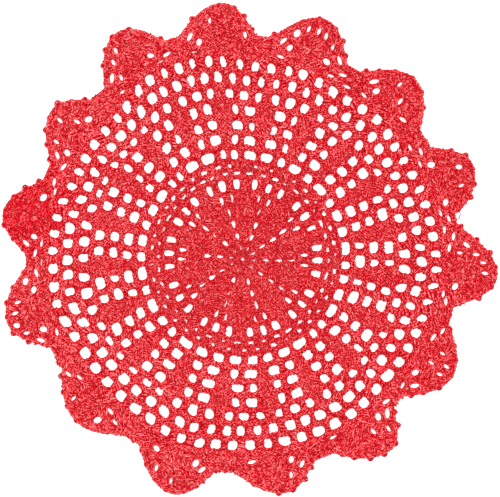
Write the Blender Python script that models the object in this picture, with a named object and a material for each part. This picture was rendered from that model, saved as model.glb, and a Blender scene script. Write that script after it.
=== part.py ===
# A round crochet lace placemat, worked in one piece from the middle outward. It is a flat sheet
# of cotton lace: four rounds of mesh with leaves between, a closed round, two rounds of mesh set
# like bricks, and an edge of fourteen uneven scallops with picots.
import math

import bmesh
import bpy

MM = 0.001
MAT_NAME = "crochet_lace_placemat"
SHEET_NAME = "lace_mat"
COTTON_RED = (0.72, 0.017, 0.03, 1.0)
COTTON_ROUGHNESS = 0.85
WELD = 0.00001

# Sizes are in millimetres. Bearings are in degrees, counter-clockwise from east, seen from above.
THICKNESS = 2.4
FULL_TURN = 360.0

# The rounds are worked outward from the hub, and each lies a little off the one before.
OFFSET_EAST = -0.3
OFFSET_EAST_GROWTH = 0.008
OFFSET_NORTH = -0.6
OFFSET_NORTH_GROWTH = 0.013

# The mesh below the two topmost scallops is pulled outward, more so in the outer rounds.
PULL_BEARING = 110.0
PULL_HALF_WIDTH = 16.5
PULL_START_RADIUS = 50.0
PULL_GROWTH = 0.09
PULL_SHARPNESS = 6

# Twenty leaves stand round the mat. They drift together on one side and apart on the other.
LEAVES = 20
FIRST_LEAF_BEARING = 8.0
DRIFTS = (
    {"waves": 1, "size": 3.7, "crest": -11.0},
    {"waves": 2, "size": 1.25, "crest": 69.0},
)

# Rounds with two openings, parted by a post, between each two leaves. foot and head are the
# distances of the bars from the hub, leaf_foot and leaf_head half of a leaf's width in degrees
# and post the width of the post.
LEAF_ROUNDS = (
    {"name": "leaf stems", "foot": 68.3, "head": 74.9, "leaf_foot": 1.2, "leaf_head": 1.6, "post": 4.0},
    {"name": "leaf bases", "foot": 78.2, "head": 84.9, "leaf_foot": 2.4, "leaf_head": 3.0, "post": 4.0},
    {"name": "leaf middles", "foot": 88.2, "head": 94.4, "leaf_foot": 3.4, "leaf_head": 3.6, "post": 4.1},
    {"name": "leaf shoulders", "foot": 98.4, "head": 105.6, "leaf_foot": 3.9, "leaf_head": 4.3, "post": 4.1},
)

# Two rounds of mesh with five openings to a scallop. shift sets one round half an opening
# along from the other.
CELLS_PER_SCALLOP = 5
MIDDLE_CELL = 2.5
MESH_ROUNDS = (
    {"name": "inner mesh", "foot": 118.3, "head": 125.6, "shift": 0.0, "post": 4.4},
    {"name": "outer mesh", "foot": 128.4, "head": 135.6, "shift": 0.5, "post": 5.0},
)

# Corners of an opening, as shares of its width and of its height.
CORNERS = (
    {"across": 0.16, "up": 0.00},
    {"across": 0.84, "up": 0.04},
    {"across": 1.00, "up": 0.42},
    {"across": 0.88, "up": 0.90},
    {"across": 0.42, "up": 1.00},
    {"across": 0.06, "up": 0.84},
    {"across": 0.00, "up": 0.36},
)

# Hand-worked unevenness. Each trait of each stitch gets its own steady value from these waves.
UNEVEN_WAVES = {"round": 12.9898, "item": 78.233, "trait": 37.719, "spread": 43758.5453}
TRAITS = (
    "picot place", "picot height", "opening lean", "opening foot", "opening head",
    "leaf post place", "leaf post foot", "leaf post head", "mesh post foot", "mesh post head",
    "mesh post width",
)

# Shares of an opening's width or height, of a post's width, of the space between two leaves,
# and the sway of a mesh post in degrees.
CORNER_LEAN = 0.08
BAR_WAVE = 0.06
POST_CHANGE = 0.3
LEAF_POST_OFFSET = 0.12
LEAF_POST_LEAN = 0.04
POST_SWAY = 0.35

# The scallops, counter-clockwise from the first one north of east.
# tip and reach: bearing and distance of the tip. before and after: bearings of the feet.
# valley: distance of the valley that follows. bow_before and bow_after: how hollow each flank is.
# mesh: bearing of the middle opening below. swell and dip: how far the mesh is pushed out
# below the tip and below the valley.
SCALLOPS = (
    {"tip": 22, "reach": 173, "before": 12, "after": 30, "valley": 152,
     "bow_before": 0.7, "bow_after": 1.1, "mesh": 21, "swell": -0.7, "dip": -2.1},
    {"tip": 46, "reach": 173, "before": 36, "after": 58, "valley": 153,
     "bow_before": 1.0, "bow_after": 1.3, "mesh": 46, "swell": 1.4, "dip": -1.7},
    {"tip": 71, "reach": 176, "before": 62, "after": 83, "valley": 155,
     "bow_before": 1.1, "bow_after": 1.3, "mesh": 72, "swell": 1.8, "dip": 0.5},
    {"tip": 95, "reach": 178.5, "before": 87, "after": 106, "valley": 161,
     "bow_before": 1.1, "bow_after": 1.1, "mesh": 96, "swell": 0.0, "dip": 0.0},
    {"tip": 119, "reach": 180.5, "before": 110, "after": 129, "valley": 153,
     "bow_before": 1.2, "bow_after": 1.0, "mesh": 118, "swell": 0.6, "dip": -2.0},
    {"tip": 142, "reach": 169, "before": 134, "after": 154, "valley": 150,
     "bow_before": 1.3, "bow_after": 1.2, "mesh": 143, "swell": -1.2, "dip": -2.4},
    {"tip": 169.5, "reach": 171, "before": 159, "after": 179, "valley": 152,
     "bow_before": 1.2, "bow_after": 1.1, "mesh": 168, "swell": 1.6, "dip": 1.6},
    {"tip": 195.5, "reach": 171.5, "before": 183, "after": 205, "valley": 149,
     "bow_before": 1.0, "bow_after": 1.2, "mesh": 194, "swell": 2.8, "dip": -2.1},
    {"tip": 224.5, "reach": 164, "before": 212, "after": 236, "valley": 150,
     "bow_before": 1.0, "bow_after": 1.2, "mesh": 222.5, "swell": -2.5, "dip": -1.8},
    {"tip": 253, "reach": 173, "before": 241, "after": 262, "valley": 151,
     "bow_before": 1.1, "bow_after": 1.0, "mesh": 251, "swell": 2.4, "dip": 0.0},
    {"tip": 280.5, "reach": 167.5, "before": 268, "after": 289, "valley": 151,
     "bow_before": 1.1, "bow_after": 1.2, "mesh": 277, "swell": -0.7, "dip": 0.2},
    {"tip": 307.5, "reach": 170, "before": 295, "after": 315, "valley": 148,
     "bow_before": 1.0, "bow_after": 1.2, "mesh": 304, "swell": 0.8, "dip": -1.8},
    {"tip": 330.5, "reach": 168.5, "before": 319, "after": 342, "valley": 151,
     "bow_before": 1.1, "bow_after": 1.2, "mesh": 331, "swell": -0.9, "dip": -0.6},
    {"tip": 355.5, "reach": 178, "before": 347, "after": 369, "valley": 151,
     "bow_before": 1.1, "bow_after": 1.3, "mesh": 356, "swell": 2.8, "dip": 0.3},
)
EDGE_EAST = 0.2
EDGE_NORTH = 1.0
EDGE_STEPS = 80
WIDE_VALLEY = 2.0

# Picots along each scallop. shift is a share of the picot's half width, except for the hollow
# before it, which lies half a picot pitch back. rise is a share of its height.
PICOTS_PER_SCALLOP = 7
PICOT_HEIGHT = 1.4
PICOT_HALF_WIDTH = 2.2
PICOT_SPACING_CHANGE = 0.12
PICOT_HEIGHT_CHANGE = 0.3
PICOT_SIDES = (
    {"shift": -0.6, "rise": 0.75},
    {"shift": 0.0, "rise": 1.0},
    {"shift": 0.6, "rise": 0.7},
)


def unevenness(round_number, item, trait):
    # a steady value from -1 to 1, so that no two posts, bars or picots are quite alike
    angle = UNEVEN_WAVES["round"] * round_number + UNEVEN_WAVES["item"] * item
    angle += UNEVEN_WAVES["trait"] * (1 + TRAITS.index(trait))
    mixed = math.sin(angle) * UNEVEN_WAVES["spread"]
    return 2.0 * (mixed - math.floor(mixed)) - 1.0


def ease(share):
    share = min(1.0, max(0.0, share))
    return share * share * (3.0 - 2.0 * share)


def lay(distance, bearing):
    # where a point of a round lies on the table, east and north of the hub
    away = (bearing - PULL_BEARING + FULL_TURN / 2) % FULL_TURN - FULL_TURN / 2
    pull = 1.0 / (1.0 + (away / PULL_HALF_WIDTH) ** PULL_SHARPNESS)
    pulled = distance + pull * PULL_GROWTH * max(0.0, distance - PULL_START_RADIUS)
    east = OFFSET_EAST + OFFSET_EAST_GROWTH * distance
    north = OFFSET_NORTH + OFFSET_NORTH_GROWTH * distance
    angle = math.radians(bearing)
    return east + pulled * math.cos(angle), north + pulled * math.sin(angle)


def leaf_bearing(leaf):
    even = FULL_TURN * leaf / LEAVES
    bearing = FIRST_LEAF_BEARING + even
    for drift in DRIFTS:
        bearing += drift["size"] * math.cos(math.radians(drift["waves"] * (even - drift["crest"])))
    return bearing


def mesh_bearing(cell):
    # bearing at a count of openings, on a smooth curve through the scallops' mesh bearings
    place = (cell - MIDDLE_CELL) / CELLS_PER_SCALLOP
    first = math.floor(place)
    part = place - first
    near = []
    for row in range(first - 1, first + 3):
        turns = row // len(SCALLOPS)
        near.append(SCALLOPS[row % len(SCALLOPS)]["mesh"] + FULL_TURN * turns)
    a, b, c, d = near
    bend = 2 * a - 5 * b + 4 * c - d + part * (3 * (b - c) + d - a)
    return b + 0.5 * part * (c - a + part * bend)


def mesh_swell(cell):
    # how far the mesh is pushed out at a count of openings
    place = (cell - MIDDLE_CELL) / CELLS_PER_SCALLOP
    first = math.floor(place)
    part = place - first
    here = SCALLOPS[first % len(SCALLOPS)]
    after = SCALLOPS[(first + 1) % len(SCALLOPS)]
    if part < 0.5:
        return here["swell"] + (here["dip"] - here["swell"]) * ease(2 * part)
    return here["dip"] + (after["swell"] - here["dip"]) * ease(2 * part - 1)


def edge_point(distance, bearing):
    angle = math.radians(bearing)
    return EDGE_EAST + distance * math.cos(angle), EDGE_NORTH + distance * math.sin(angle)


def edge_distance(number, bearing):
    # distance of a scallop's edge without its picots
    row = SCALLOPS[number]
    if bearing <= row["tip"]:
        part = (bearing - row["before"]) / (row["tip"] - row["before"])
        low = SCALLOPS[number - 1]["valley"]
        bow = row["bow_before"]
    else:
        part = (row["after"] - bearing) / (row["after"] - row["tip"])
        low = row["valley"]
        bow = row["bow_after"]
    return low + (row["reach"] - low) * math.sin(math.pi / 2 * part) ** bow


def scallop_edge(number):
    # points from foot to foot, and the run of the edge up to each of them
    row = SCALLOPS[number]
    points = []
    runs = [0.0]
    for step in range(EDGE_STEPS + 1):
        bearing = row["before"] + (row["after"] - row["before"]) * step / EDGE_STEPS
        points.append(edge_point(edge_distance(number, bearing), bearing))
        if step:
            runs.append(runs[-1] + math.dist(points[-1], points[-2]))
    return points, runs


def edge_place(points, runs, run, rise):
    # the point at a run along a scallop's edge, moved outward by rise
    run = min(runs[-1], max(0.0, run))
    step = 1
    while runs[step] < run:
        step += 1
    part = (run - runs[step - 1]) / (runs[step] - runs[step - 1])
    first = points[step - 1]
    last = points[step]
    length = math.dist(first, last)
    along_x = (last[0] - first[0]) / length
    along_y = (last[1] - first[1]) / length
    x = first[0] + part * (last[0] - first[0]) + rise * along_y
    y = first[1] + part * (last[1] - first[1]) - rise * along_x
    return x, y


def picot_points(number, points, runs):
    pitch = runs[-1] / PICOTS_PER_SCALLOP
    edge = []
    for picot in range(PICOTS_PER_SCALLOP):
        moved = PICOT_SPACING_CHANGE * unevenness(number, picot, "picot place")
        middle = (picot + 0.5 + moved) * pitch
        taller = PICOT_HEIGHT_CHANGE * unevenness(number, picot, "picot height")
        height = PICOT_HEIGHT * (1 + taller)
        edge.append(edge_place(points, runs, middle - 0.5 * pitch, 0.0))
        for side in PICOT_SIDES:
            run = middle + side["shift"] * PICOT_HALF_WIDTH
            edge.append(edge_place(points, runs, run, side["rise"] * height))
    edge.append(points[-1])
    return edge


def mat_outline():
    edge = []
    for number, row in enumerate(SCALLOPS):
        points, runs = scallop_edge(number)
        edge += picot_points(number, points, runs)
        last = number == len(SCALLOPS) - 1
        next_foot = SCALLOPS[(number + 1) % len(SCALLOPS)]["before"] + (FULL_TURN if last else 0.0)
        if next_foot - row["after"] > WIDE_VALLEY:
            edge.append(edge_point(row["valley"], 0.5 * (row["after"] + next_foot)))
    return edge


def opening(sides, foot, head, round_number, item):
    # sides holds the bearings of the near and the far side, each at the foot and at the head
    (near_foot, near_head), (far_foot, far_head) = sides
    tall = head - foot
    lean = CORNER_LEAN * unevenness(round_number, item, "opening lean")
    low = foot + BAR_WAVE * tall * unevenness(round_number, item, "opening foot")
    high = head + BAR_WAVE * tall * unevenness(round_number, item, "opening head")
    shape = []
    for corner in CORNERS:
        up = corner["up"]
        near = near_foot + up * (near_head - near_foot)
        far = far_foot + up * (far_head - far_foot)
        across = corner["across"] + lean * (up - 0.5)
        shape.append(lay(low + up * (high - low), near + across * (far - near)))
    return shape


def leaf_round_openings(row, round_number):
    shapes = []
    half_post = 0.5 * math.degrees(row["post"] / row["foot"])
    for leaf in range(LEAVES):
        start = leaf_bearing(leaf)
        gap = leaf_bearing(leaf + 1) - start
        share = gap * LEAVES / FULL_TURN
        middle = 0.5 + LEAF_POST_OFFSET * unevenness(round_number, leaf, "leaf post place")
        near_leaf = []
        near_post = []
        far_post = []
        far_leaf = []
        for level in ("foot", "head"):
            near = start + row["leaf_" + level] * share
            far = start + gap - row["leaf_" + level] * share
            lean = LEAF_POST_LEAN * unevenness(round_number, leaf, "leaf post " + level)
            post = near + (middle + lean) * (far - near)
            near_leaf.append(near)
            near_post.append(post - half_post)
            far_post.append(post + half_post)
            far_leaf.append(far)
        pairs = ((near_leaf, near_post), (far_post, far_leaf))
        for side, sides in enumerate(pairs):
            shapes.append(opening(sides, row["foot"], row["head"], round_number, 2 * leaf + side))
    return shapes


def mesh_post_side(row, round_number, post, toward):
    # one side of a mesh post, at its foot and its head
    own = post % (CELLS_PER_SCALLOP * len(SCALLOPS))
    half = 0.5 * math.degrees(row["post"] / row["foot"])
    half *= 1 + POST_CHANGE * unevenness(round_number, own, "mesh post width")
    middle = mesh_bearing(post + row["shift"] - 0.5) + toward * half
    foot = middle + POST_SWAY * unevenness(round_number, own, "mesh post foot")
    head = middle + POST_SWAY * unevenness(round_number, own, "mesh post head")
    return foot, head


def mesh_round_openings(row, round_number):
    shapes = []
    for cell in range(CELLS_PER_SCALLOP * len(SCALLOPS)):
        near = mesh_post_side(row, round_number, cell, 1)
        far = mesh_post_side(row, round_number, cell + 1, -1)
        swell = mesh_swell(cell + row["shift"])
        foot = row["foot"] + swell
        head = row["head"] + swell
        shapes.append(opening((near, far), foot, head, round_number, cell))
    return shapes


def mat_openings():
    shapes = []
    for number, row in enumerate(LEAF_ROUNDS):
        shapes += leaf_round_openings(row, number + 1)
    for number, row in enumerate(MESH_ROUNDS):
        shapes += mesh_round_openings(row, number + 1 + len(LEAF_ROUNDS))
    return shapes


def add_shape(curve, shape):
    spline = curve.splines.new("POLY")
    spline.points.add(len(shape) - 1)
    for point, (x, y) in zip(spline.points, shape):
        point.co = (x * MM, y * MM, 0.0, 1.0)
    spline.use_cyclic_u = True


def flat_curve(shapes):
    curve = bpy.data.curves.new(SHEET_NAME + "_outline", "CURVE")
    curve.dimensions = "2D"
    curve.fill_mode = "BOTH"
    curve.extrude = 0.5 * THICKNESS * MM
    for shape in shapes:
        add_shape(curve, shape)
    return curve


def curve_mesh(curve, collection):
    # the curve's solid as a mesh with its caps welded to its walls
    outline = bpy.data.objects.new(SHEET_NAME + "_outline", curve)
    collection.objects.link(outline)
    bpy.context.view_layer.update()
    solid = outline.evaluated_get(bpy.context.evaluated_depsgraph_get())
    mesh = bpy.data.meshes.new_from_object(solid)
    sheet = bpy.data.objects.new(SHEET_NAME, mesh)
    sheet.matrix_world = outline.matrix_world
    collection.objects.link(sheet)
    bpy.data.objects.remove(outline)
    return sheet


def shape_sheet(mesh):
    # weld, and set the sheet on the table with the middle of its box above the origin
    shaped = bmesh.new()
    shaped.from_mesh(mesh)
    bmesh.ops.remove_doubles(shaped, verts=shaped.verts, dist=WELD)
    bmesh.ops.recalc_face_normals(shaped, faces=shaped.faces)
    easts = [vertex.co.x for vertex in shaped.verts]
    norths = [vertex.co.y for vertex in shaped.verts]
    middle_x = 0.5 * (min(easts) + max(easts))
    middle_y = 0.5 * (min(norths) + max(norths))
    for vertex in shaped.verts:
        vertex.co.x -= middle_x
        vertex.co.y -= middle_y
        vertex.co.z += 0.5 * THICKNESS * MM
    shaped.to_mesh(mesh)
    shaped.free()
    mesh.name = SHEET_NAME


def red_cotton():
    cotton = bpy.data.materials.new("red_cotton")
    cotton.use_nodes = True
    shader = cotton.node_tree.nodes["Principled BSDF"]
    shader.inputs["Base Color"].default_value = COTTON_RED
    shader.inputs["Roughness"].default_value = COTTON_ROUGHNESS
    shader.inputs["Metallic"].default_value = 0.0
    cotton.diffuse_color = COTTON_RED
    return cotton


def lace_sheet(collection):
    sheet = curve_mesh(flat_curve([mat_outline()] + mat_openings()), collection)
    shape_sheet(sheet.data)
    sheet.data.materials.clear()
    sheet.data.materials.append(red_cotton())


for old in list(bpy.data.objects):
    bpy.data.objects.remove(old)
mat = bpy.data.collections.new(MAT_NAME)
bpy.context.scene.collection.children.link(mat)
lace_sheet(mat)
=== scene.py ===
# A round red crochet placemat lying flat, seen from straight above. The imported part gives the
# frame. Here the same lace is worked stitch by stitch in cotton yarn over a thin base cloth.
import math

import bmesh
import bpy
import numpy as np
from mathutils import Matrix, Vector
from mathutils.geometry import delaunay_2d_cdt


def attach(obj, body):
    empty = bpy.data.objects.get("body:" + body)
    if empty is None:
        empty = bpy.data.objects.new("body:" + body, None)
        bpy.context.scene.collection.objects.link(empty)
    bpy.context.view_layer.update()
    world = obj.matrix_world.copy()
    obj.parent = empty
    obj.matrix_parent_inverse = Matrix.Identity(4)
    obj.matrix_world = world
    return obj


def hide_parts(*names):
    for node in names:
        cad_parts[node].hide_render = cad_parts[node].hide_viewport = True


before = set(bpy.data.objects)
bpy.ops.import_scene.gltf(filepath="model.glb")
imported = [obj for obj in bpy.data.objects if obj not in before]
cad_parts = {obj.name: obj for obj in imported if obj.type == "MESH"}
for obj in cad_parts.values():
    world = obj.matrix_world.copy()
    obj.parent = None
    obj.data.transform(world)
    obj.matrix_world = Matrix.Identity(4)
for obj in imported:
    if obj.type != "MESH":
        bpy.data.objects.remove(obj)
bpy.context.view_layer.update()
draws = np.random.default_rng(11)

mm = 0.001
fullTurn = 360.0
matName = "lace_mat"

# Distances are in millimetres from the hub, bearings in degrees counter-clockwise from east.
# They are those of the part's source, so that each opening lies over the solid's own.
matPlan = {
    "hub": (-4.746, -7.004),
    "offsetEast": (-0.3, 0.008),
    "offsetNorth": (-0.6, 0.013),
    "pullBearing": 110.0,
    "pullHalfWidth": 16.5,
    "pullStart": 50.0,
    "pullGrowth": 0.09,
    "pullSharpness": 6,
    "leaves": 20,
    "firstLeaf": 8.0,
    "drifts": ((1, 3.7, -11.0), (2, 1.25, 69.0)),
    "petals": 10,
    "firstPetalGap": 33.3,
    "petalDrift": 0.35,
    "edgeCentre": (0.2, 1.0),
}


def table(traits, *rows):
    return [dict(zip(traits, row)) for row in rows]


# Bars are the chains along the head of each round: distance from the hub and width. Those of the
# middle lie a little lower.
barPlan = table(
    ("name", "lower", "bars"),
    ("inner_bars", 0.25, (
        (2.7, 3.4), (10.5, 3.2), (19.6, 3.4), (28.7, 3.4), (37.8, 3.4), (46.9, 3.9), (57.0, 4.0),
        (61.7, 3.5), (67.0, 4.3),
    )),
    ("leaf_bars", 0.0, ((76.6, 4.7), (86.6, 4.7), (96.4, 5.1), (106.8, 4.4))),
    ("mesh_bars", 0.0, ((116.5, 4.5), (127.0, 4.3), (137.6, 4.8))),
)

# Rounds of the middle: bars at foot and head, bearings of the gaps beside each petal gap, the
# gaps' widths at foot and head, and from how far up they open. pitch is a stitch's width in mm.
petalRounds = table(
    ("bars", "at", "shift", "wide", "from", "pitch"),
    ((2.7, 10.5), (0.0,), -5.0, (-0.9, 1.6), 0.5, 2.3),
    ((10.5, 19.6), (0.0,), -2.4, (0.0, 3.9), 0.35, 3.0),
    ((19.6, 28.7), (0.0,), -1.0, (0.3, 4.2), 0.3, 3.1),
    ((28.7, 37.8), (0.0,), 0.6, (1.2, 2.6), 0.2, 3.2),
    ((37.8, 46.9), (-4.8, 4.8), 0.3, (1.2, 3.5), 0.25, 3.2),
    ((46.9, 57.0), (-10.4, 0.0, 10.4), 0.0, (3.6, 5.0), 0.15, 3.2),
)
collarRounds = table(
    ("bars", "foot", "head", "at", "wide", "pitch"),
    ((57.0, 61.7), 58.6, 60.3, (4.5, 13.5), (3.4, 3.6), 3.0),
    ((61.7, 67.0), 63.3, 65.4, (0.0, 9.0), (2.2, 3.4), 3.0),
)

# Rounds with two openings, parted by a post, between each two leaves, as in the part's source.
leafRounds = table(
    ("bars", "foot", "head", "leafFoot", "leafHead", "post", "pitch"),
    ((67.0, 76.6), 68.3, 74.9, 1.2, 1.6, 4.0, 3.0),
    ((76.6, 86.6), 78.2, 84.9, 2.4, 3.0, 4.0, 3.0),
    ((86.6, 96.4), 88.2, 94.4, 3.4, 3.6, 4.1, 3.0),
    ((96.4, 106.8), 98.4, 105.6, 3.9, 4.3, 4.1, 3.0),
)

# The round where the leaves end: bearings of the three gaps' sides between two leaves, at the
# foot and at the head, as shares of the eighteen degrees from leaf to leaf.
tipRound = {
    "bars": (106.8, 116.5),
    "foot": 108.2,
    "head": 114.7,
    "gaps": (((2.3, 1.3), (4.9, 4.7)), ((7.3, 7.2), (10.7, 10.8)), ((13.1, 13.3), (15.7, 16.7))),
    "pitch": 3.6,
}

meshRounds = table(
    ("bars", "foot", "head", "shift", "post", "pitch"),
    ((116.5, 127.0), 118.3, 125.6, 0.0, 4.4, 9.0),
    ((127.0, 137.6), 128.4, 135.6, 0.5, 5.0, 9.0),
)
cellsPerScallop = 5
middleCell = 2.5
swellStart = 106.8
swellFull = 118.0

# Of each scallop: bearing and distance of its tip, bearings of its feet before and after the tip,
# distance of the valley after it, how much each side bows, bearing of the middle opening below it,
# and how far the rounds below are pushed out under the scallop and under the valley.
scallops = table(
    ("tip", "reach", "before", "after", "valley", "bowBefore", "bowAfter", "mesh", "swell", "dip"),
    (22, 173, 12, 30, 152, 0.7, 1.1, 21, -0.7, -2.1),
    (46, 173, 36, 58, 153, 1.0, 1.3, 46, 1.4, -1.7),
    (71, 176, 62, 83, 155, 1.1, 1.3, 72, 1.8, 0.5),
    (95, 178.5, 87, 106, 161, 1.1, 1.1, 96, 0.0, 0.0),
    (119, 180.5, 110, 129, 153, 1.2, 1.0, 118, 0.6, -2.0),
    (142, 169, 134, 154, 150, 1.3, 1.2, 143, -1.2, -2.4),
    (169.5, 171, 159, 179, 152, 1.2, 1.1, 168, 1.6, 1.6),
    (195.5, 171.5, 183, 205, 149, 1.0, 1.2, 194, 2.8, -2.1),
    (224.5, 164, 212, 236, 150, 1.0, 1.2, 222.5, -2.5, -1.8),
    (253, 173, 241, 262, 151, 1.1, 1.0, 251, 2.4, 0.0),
    (280.5, 167.5, 268, 289, 151, 1.1, 1.2, 277, -0.7, 0.2),
    (307.5, 170, 295, 315, 148, 1.0, 1.2, 304, 0.8, -1.8),
    (330.5, 168.5, 319, 342, 151, 1.1, 1.2, 331, -0.9, -0.6),
    (355.5, 178, 347, 369, 151, 1.1, 1.3, 356, 2.8, 0.3),
)

# Openings of each scallop, read from the photo: degrees from its tip, distance from the hub and
# kind. A slot lies along the round, an eye is roundish, a slit points outward, a gash slants.
scallopEyes = (
    ((11.5, 140, "slot"), (6, 140, "slot"), (-9, 141.5, "slot"), (9, 145, "slot"), (-11, 146.5, "slot"),
     (-6.5, 147, "eye"), (4.5, 147, "eye"), (-3.5, 161, "slit"), (1, 164, "eye")),
    ((7.5, 142, "slot"), (-5, 148, "slot"), (5.5, 149.5, "eye"), (7.5, 154, "gash"),
     (-1, 155.5, "slit"), (2, 164, "slit")),
    ((-12, 140, "slot"), (-6.5, 141.5, "slot"), (8.5, 143.5, "slot"), (-9.5, 146, "slot"),
     (-4, 149.5, "eye"), (6.5, 151, "eye"), (-7, 154, "gash"), (8.5, 155, "gash"), (-4, 160.5, "slit"),
     (5.5, 162, "eye"), (-1.5, 166, "slit"), (3, 167, "slit"), (0.5, 167.5, "slit")),
    ((8, 147.5, "slot"), (6.5, 154.5, "eye"), (-5.5, 156.5, "slit"), (8.5, 159.5, "gash"),
     (3, 168, "slit")),
    ((6.5, 143.5, "slot"), (-6, 148.5, "slot"), (-8.5, 152.5, "slot"), (5, 152.5, "slit"),
     (-4.5, 156, "eye"), (7, 156, "gash"), (4.5, 164.5, "slit"), (2.5, 170.5, "slit")),
    ((11, 141, "slot"), (7, 143.5, "eye"), (-4, 145.5, "eye"), (9, 148.5, "gash"),
     (-1.5, 150.5, "slit"), (6, 154, "slit"), (1, 160.5, "slit")),
    ((-9, 139.5, "slot"), (11.5, 140.5, "slot"), (6, 141, "slot"), (-11.5, 142.5, "slot"),
     (9, 145.5, "slot"), (-6.5, 146, "eye"), (4.5, 147, "eye"), (6.5, 152, "gash")),
    ((6, 140, "slot"), (-11.5, 145, "slot"), (4, 148, "eye"), (-7, 148, "eye"), (6.5, 152.5, "gash"),
     (-9.5, 153, "eye"), (3.5, 160, "slit"), (-4.5, 160.5, "slit"), (-2, 164, "slit"), (1, 165, "eye")),
    ((4.5, 141.5, "slot"), (-8.5, 141.5, "slot"), (7.5, 145.5, "slot"), (-11, 146.5, "slot"),
     (3.5, 152, "eye"), (-5, 153.5, "slit")),
    ((-7.5, 146, "eye"), (4, 147, "eye"), (6, 150.5, "gash"), (-5.5, 158.5, "slit"),
     (-1, 163.5, "slit")),
    ((-8, 142.5, "slot"), (3, 144.5, "eye"), (5.5, 149.5, "gash"), (2, 155, "slit")),
    ((-10.5, 139.5, "slot"), (7.5, 141.5, "slot"), (3, 145.5, "eye"), (5.5, 148, "gash"),
     (-0.5, 151.5, "slit"), (3, 156.5, "slit")),
    ((-9, 142.5, "slot"), (7, 144, "slot"), (-4, 144.5, "eye"), (9.5, 148.5, "slot"),
     (-7, 149.5, "gash"), (0.5, 150.5, "slit"), (4, 154.5, "slit"), (-1, 159.5, "slit"),
     (1.5, 161, "slit")),
    ((-10.5, 139, "slot"), (12.5, 142, "slot"), (-5.5, 142, "slot"), (7.5, 144.5, "slot"),
     (-7.5, 145, "slot"), (10.5, 148, "slot"), (-3, 149.5, "eye"), (6, 151.5, "slit"),
     (8, 156.5, "gash"), (5.5, 163, "slit"), (3.5, 168, "slit"), (1, 169.5, "slit")),
)

# Length and width in mm, angle of the length from the round's own direction, and the change of
# that angle from one side of the tip to the other.
eyeKinds = {
    "slot": (5.6, 2.1, 0.0, -12.0),
    "eye": (5.2, 3.8, 70.0, 45.0),
    "slit": (4.6, 2.1, 90.0, 8.0),
    "gash": (6.8, 2.8, 88.0, 43.0),
}
eyeChange = 0.12  # share by which a size varies
eyeReach = 7.0  # strands farther than this from an opening's middle are left as they lie

# Rows of a scallop: how far out each row's bar lies, as a share of the way from the mesh to the
# edge, at the tip and in the valley. Between low and low + tall a bar moves from one to the other.
scallopPlan = {
    "start": 137.6,
    "inset": 1.7,
    "bars": ((0.2, 0.5), (0.45, 0.95), (0.69, 1.0), (1.0, 1.0)),
    "barWidths": (4.2, 3.8, 3.6, 4.2),
    "low": 150.0,
    "tall": 20.0,
    "pitch": 3.8,
    "pitchFrom": 142.0,  # distance from the hub at which the first row's posts are counted
    "pitchStep": 6.0,
    "lean": 0.7,
    "rings": 8,
    "coarse": 1.5,
    "grain": 0.07,
    "shortest": 2.2,
    "grown": 0.4,
    "slotClear": 0.6,
    "steps": 1440,
    "leastRun": 12,
}


def unevenness(roundNumber, item, trait):
    # the same steady value from -1 to 1 as in the part's source, where trait is counted from 1
    angle = 12.9898 * roundNumber + 78.233 * item + 37.719 * trait
    mixed = math.sin(angle) * 43758.5453
    return 2.0 * (mixed - math.floor(mixed)) - 1.0


def vary(size, count=None):
    return size * draws.uniform(-1, 1, count)


def lengths(vectors):
    return np.linalg.norm(vectors, axis=-1)


def ease(share):
    share = np.clip(share, 0.0, 1.0)
    return share * share * (3.0 - 2.0 * share)


def bearingsRound(steps):
    return np.arange(steps) * fullTurn / steps


def lay(distance, bearing):
    # where a point of a round lies on the table, in the frame
    away = (bearing - matPlan["pullBearing"] + fullTurn / 2) % fullTurn - fullTurn / 2
    pull = 1.0 / (1.0 + (away / matPlan["pullHalfWidth"]) ** matPlan["pullSharpness"])
    pulled = distance + pull * matPlan["pullGrowth"] * np.maximum(0.0, distance - matPlan["pullStart"])
    east = matPlan["offsetEast"][0] + matPlan["offsetEast"][1] * distance + matPlan["hub"][0]
    north = matPlan["offsetNorth"][0] + matPlan["offsetNorth"][1] * distance + matPlan["hub"][1]
    angle = np.radians(bearing)
    return np.stack([east + pulled * np.cos(angle), north + pulled * np.sin(angle)], axis=-1)


def leafDrift(even):
    drifts = matPlan["drifts"]
    return sum(size * math.cos(math.radians(waves * (even - crest))) for waves, size, crest in drifts)


def leafBearing(leaf):
    even = fullTurn * leaf / matPlan["leaves"]
    return matPlan["firstLeaf"] + even + leafDrift(even)


leafTurn = fullTurn / matPlan["leaves"]


def petalGapBearing(gap):
    even = fullTurn * gap / matPlan["petals"]
    return matPlan["firstPetalGap"] + even + matPlan["petalDrift"] * leafDrift(even)


def meshBearing(cell):
    # bearing at a count of openings, on a smooth curve through the scallops' mesh bearings
    first, part = divmod((cell - middleCell) / cellsPerScallop, 1)
    first = int(first)
    rows = range(first - 1, first + 3)
    a, b, c, d = [scallops[row % 14]["mesh"] + fullTurn * (row // 14) for row in rows]
    bend = 2 * a - 5 * b + 4 * c - d + part * (3 * (b - c) + d - a)
    return b + 0.5 * part * (c - a + part * bend)


def meshSwell(cell):
    first, part = divmod((cell - middleCell) / cellsPerScallop, 1)
    first = int(first)
    here = scallops[first % 14]
    after = scallops[(first + 1) % 14]
    if part < 0.5:
        return here["swell"] + (here["dip"] - here["swell"]) * ease(2 * part)
    return here["dip"] + (after["swell"] - here["dip"]) * ease(2 * part - 1)


swellCells = np.arange(-10.0, 81.0, 0.25)
swellBearings = np.array([meshBearing(cell) for cell in swellCells])
swellSizes = np.array([meshSwell(cell) for cell in swellCells])
swellFrom = meshBearing(0.0)


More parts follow.
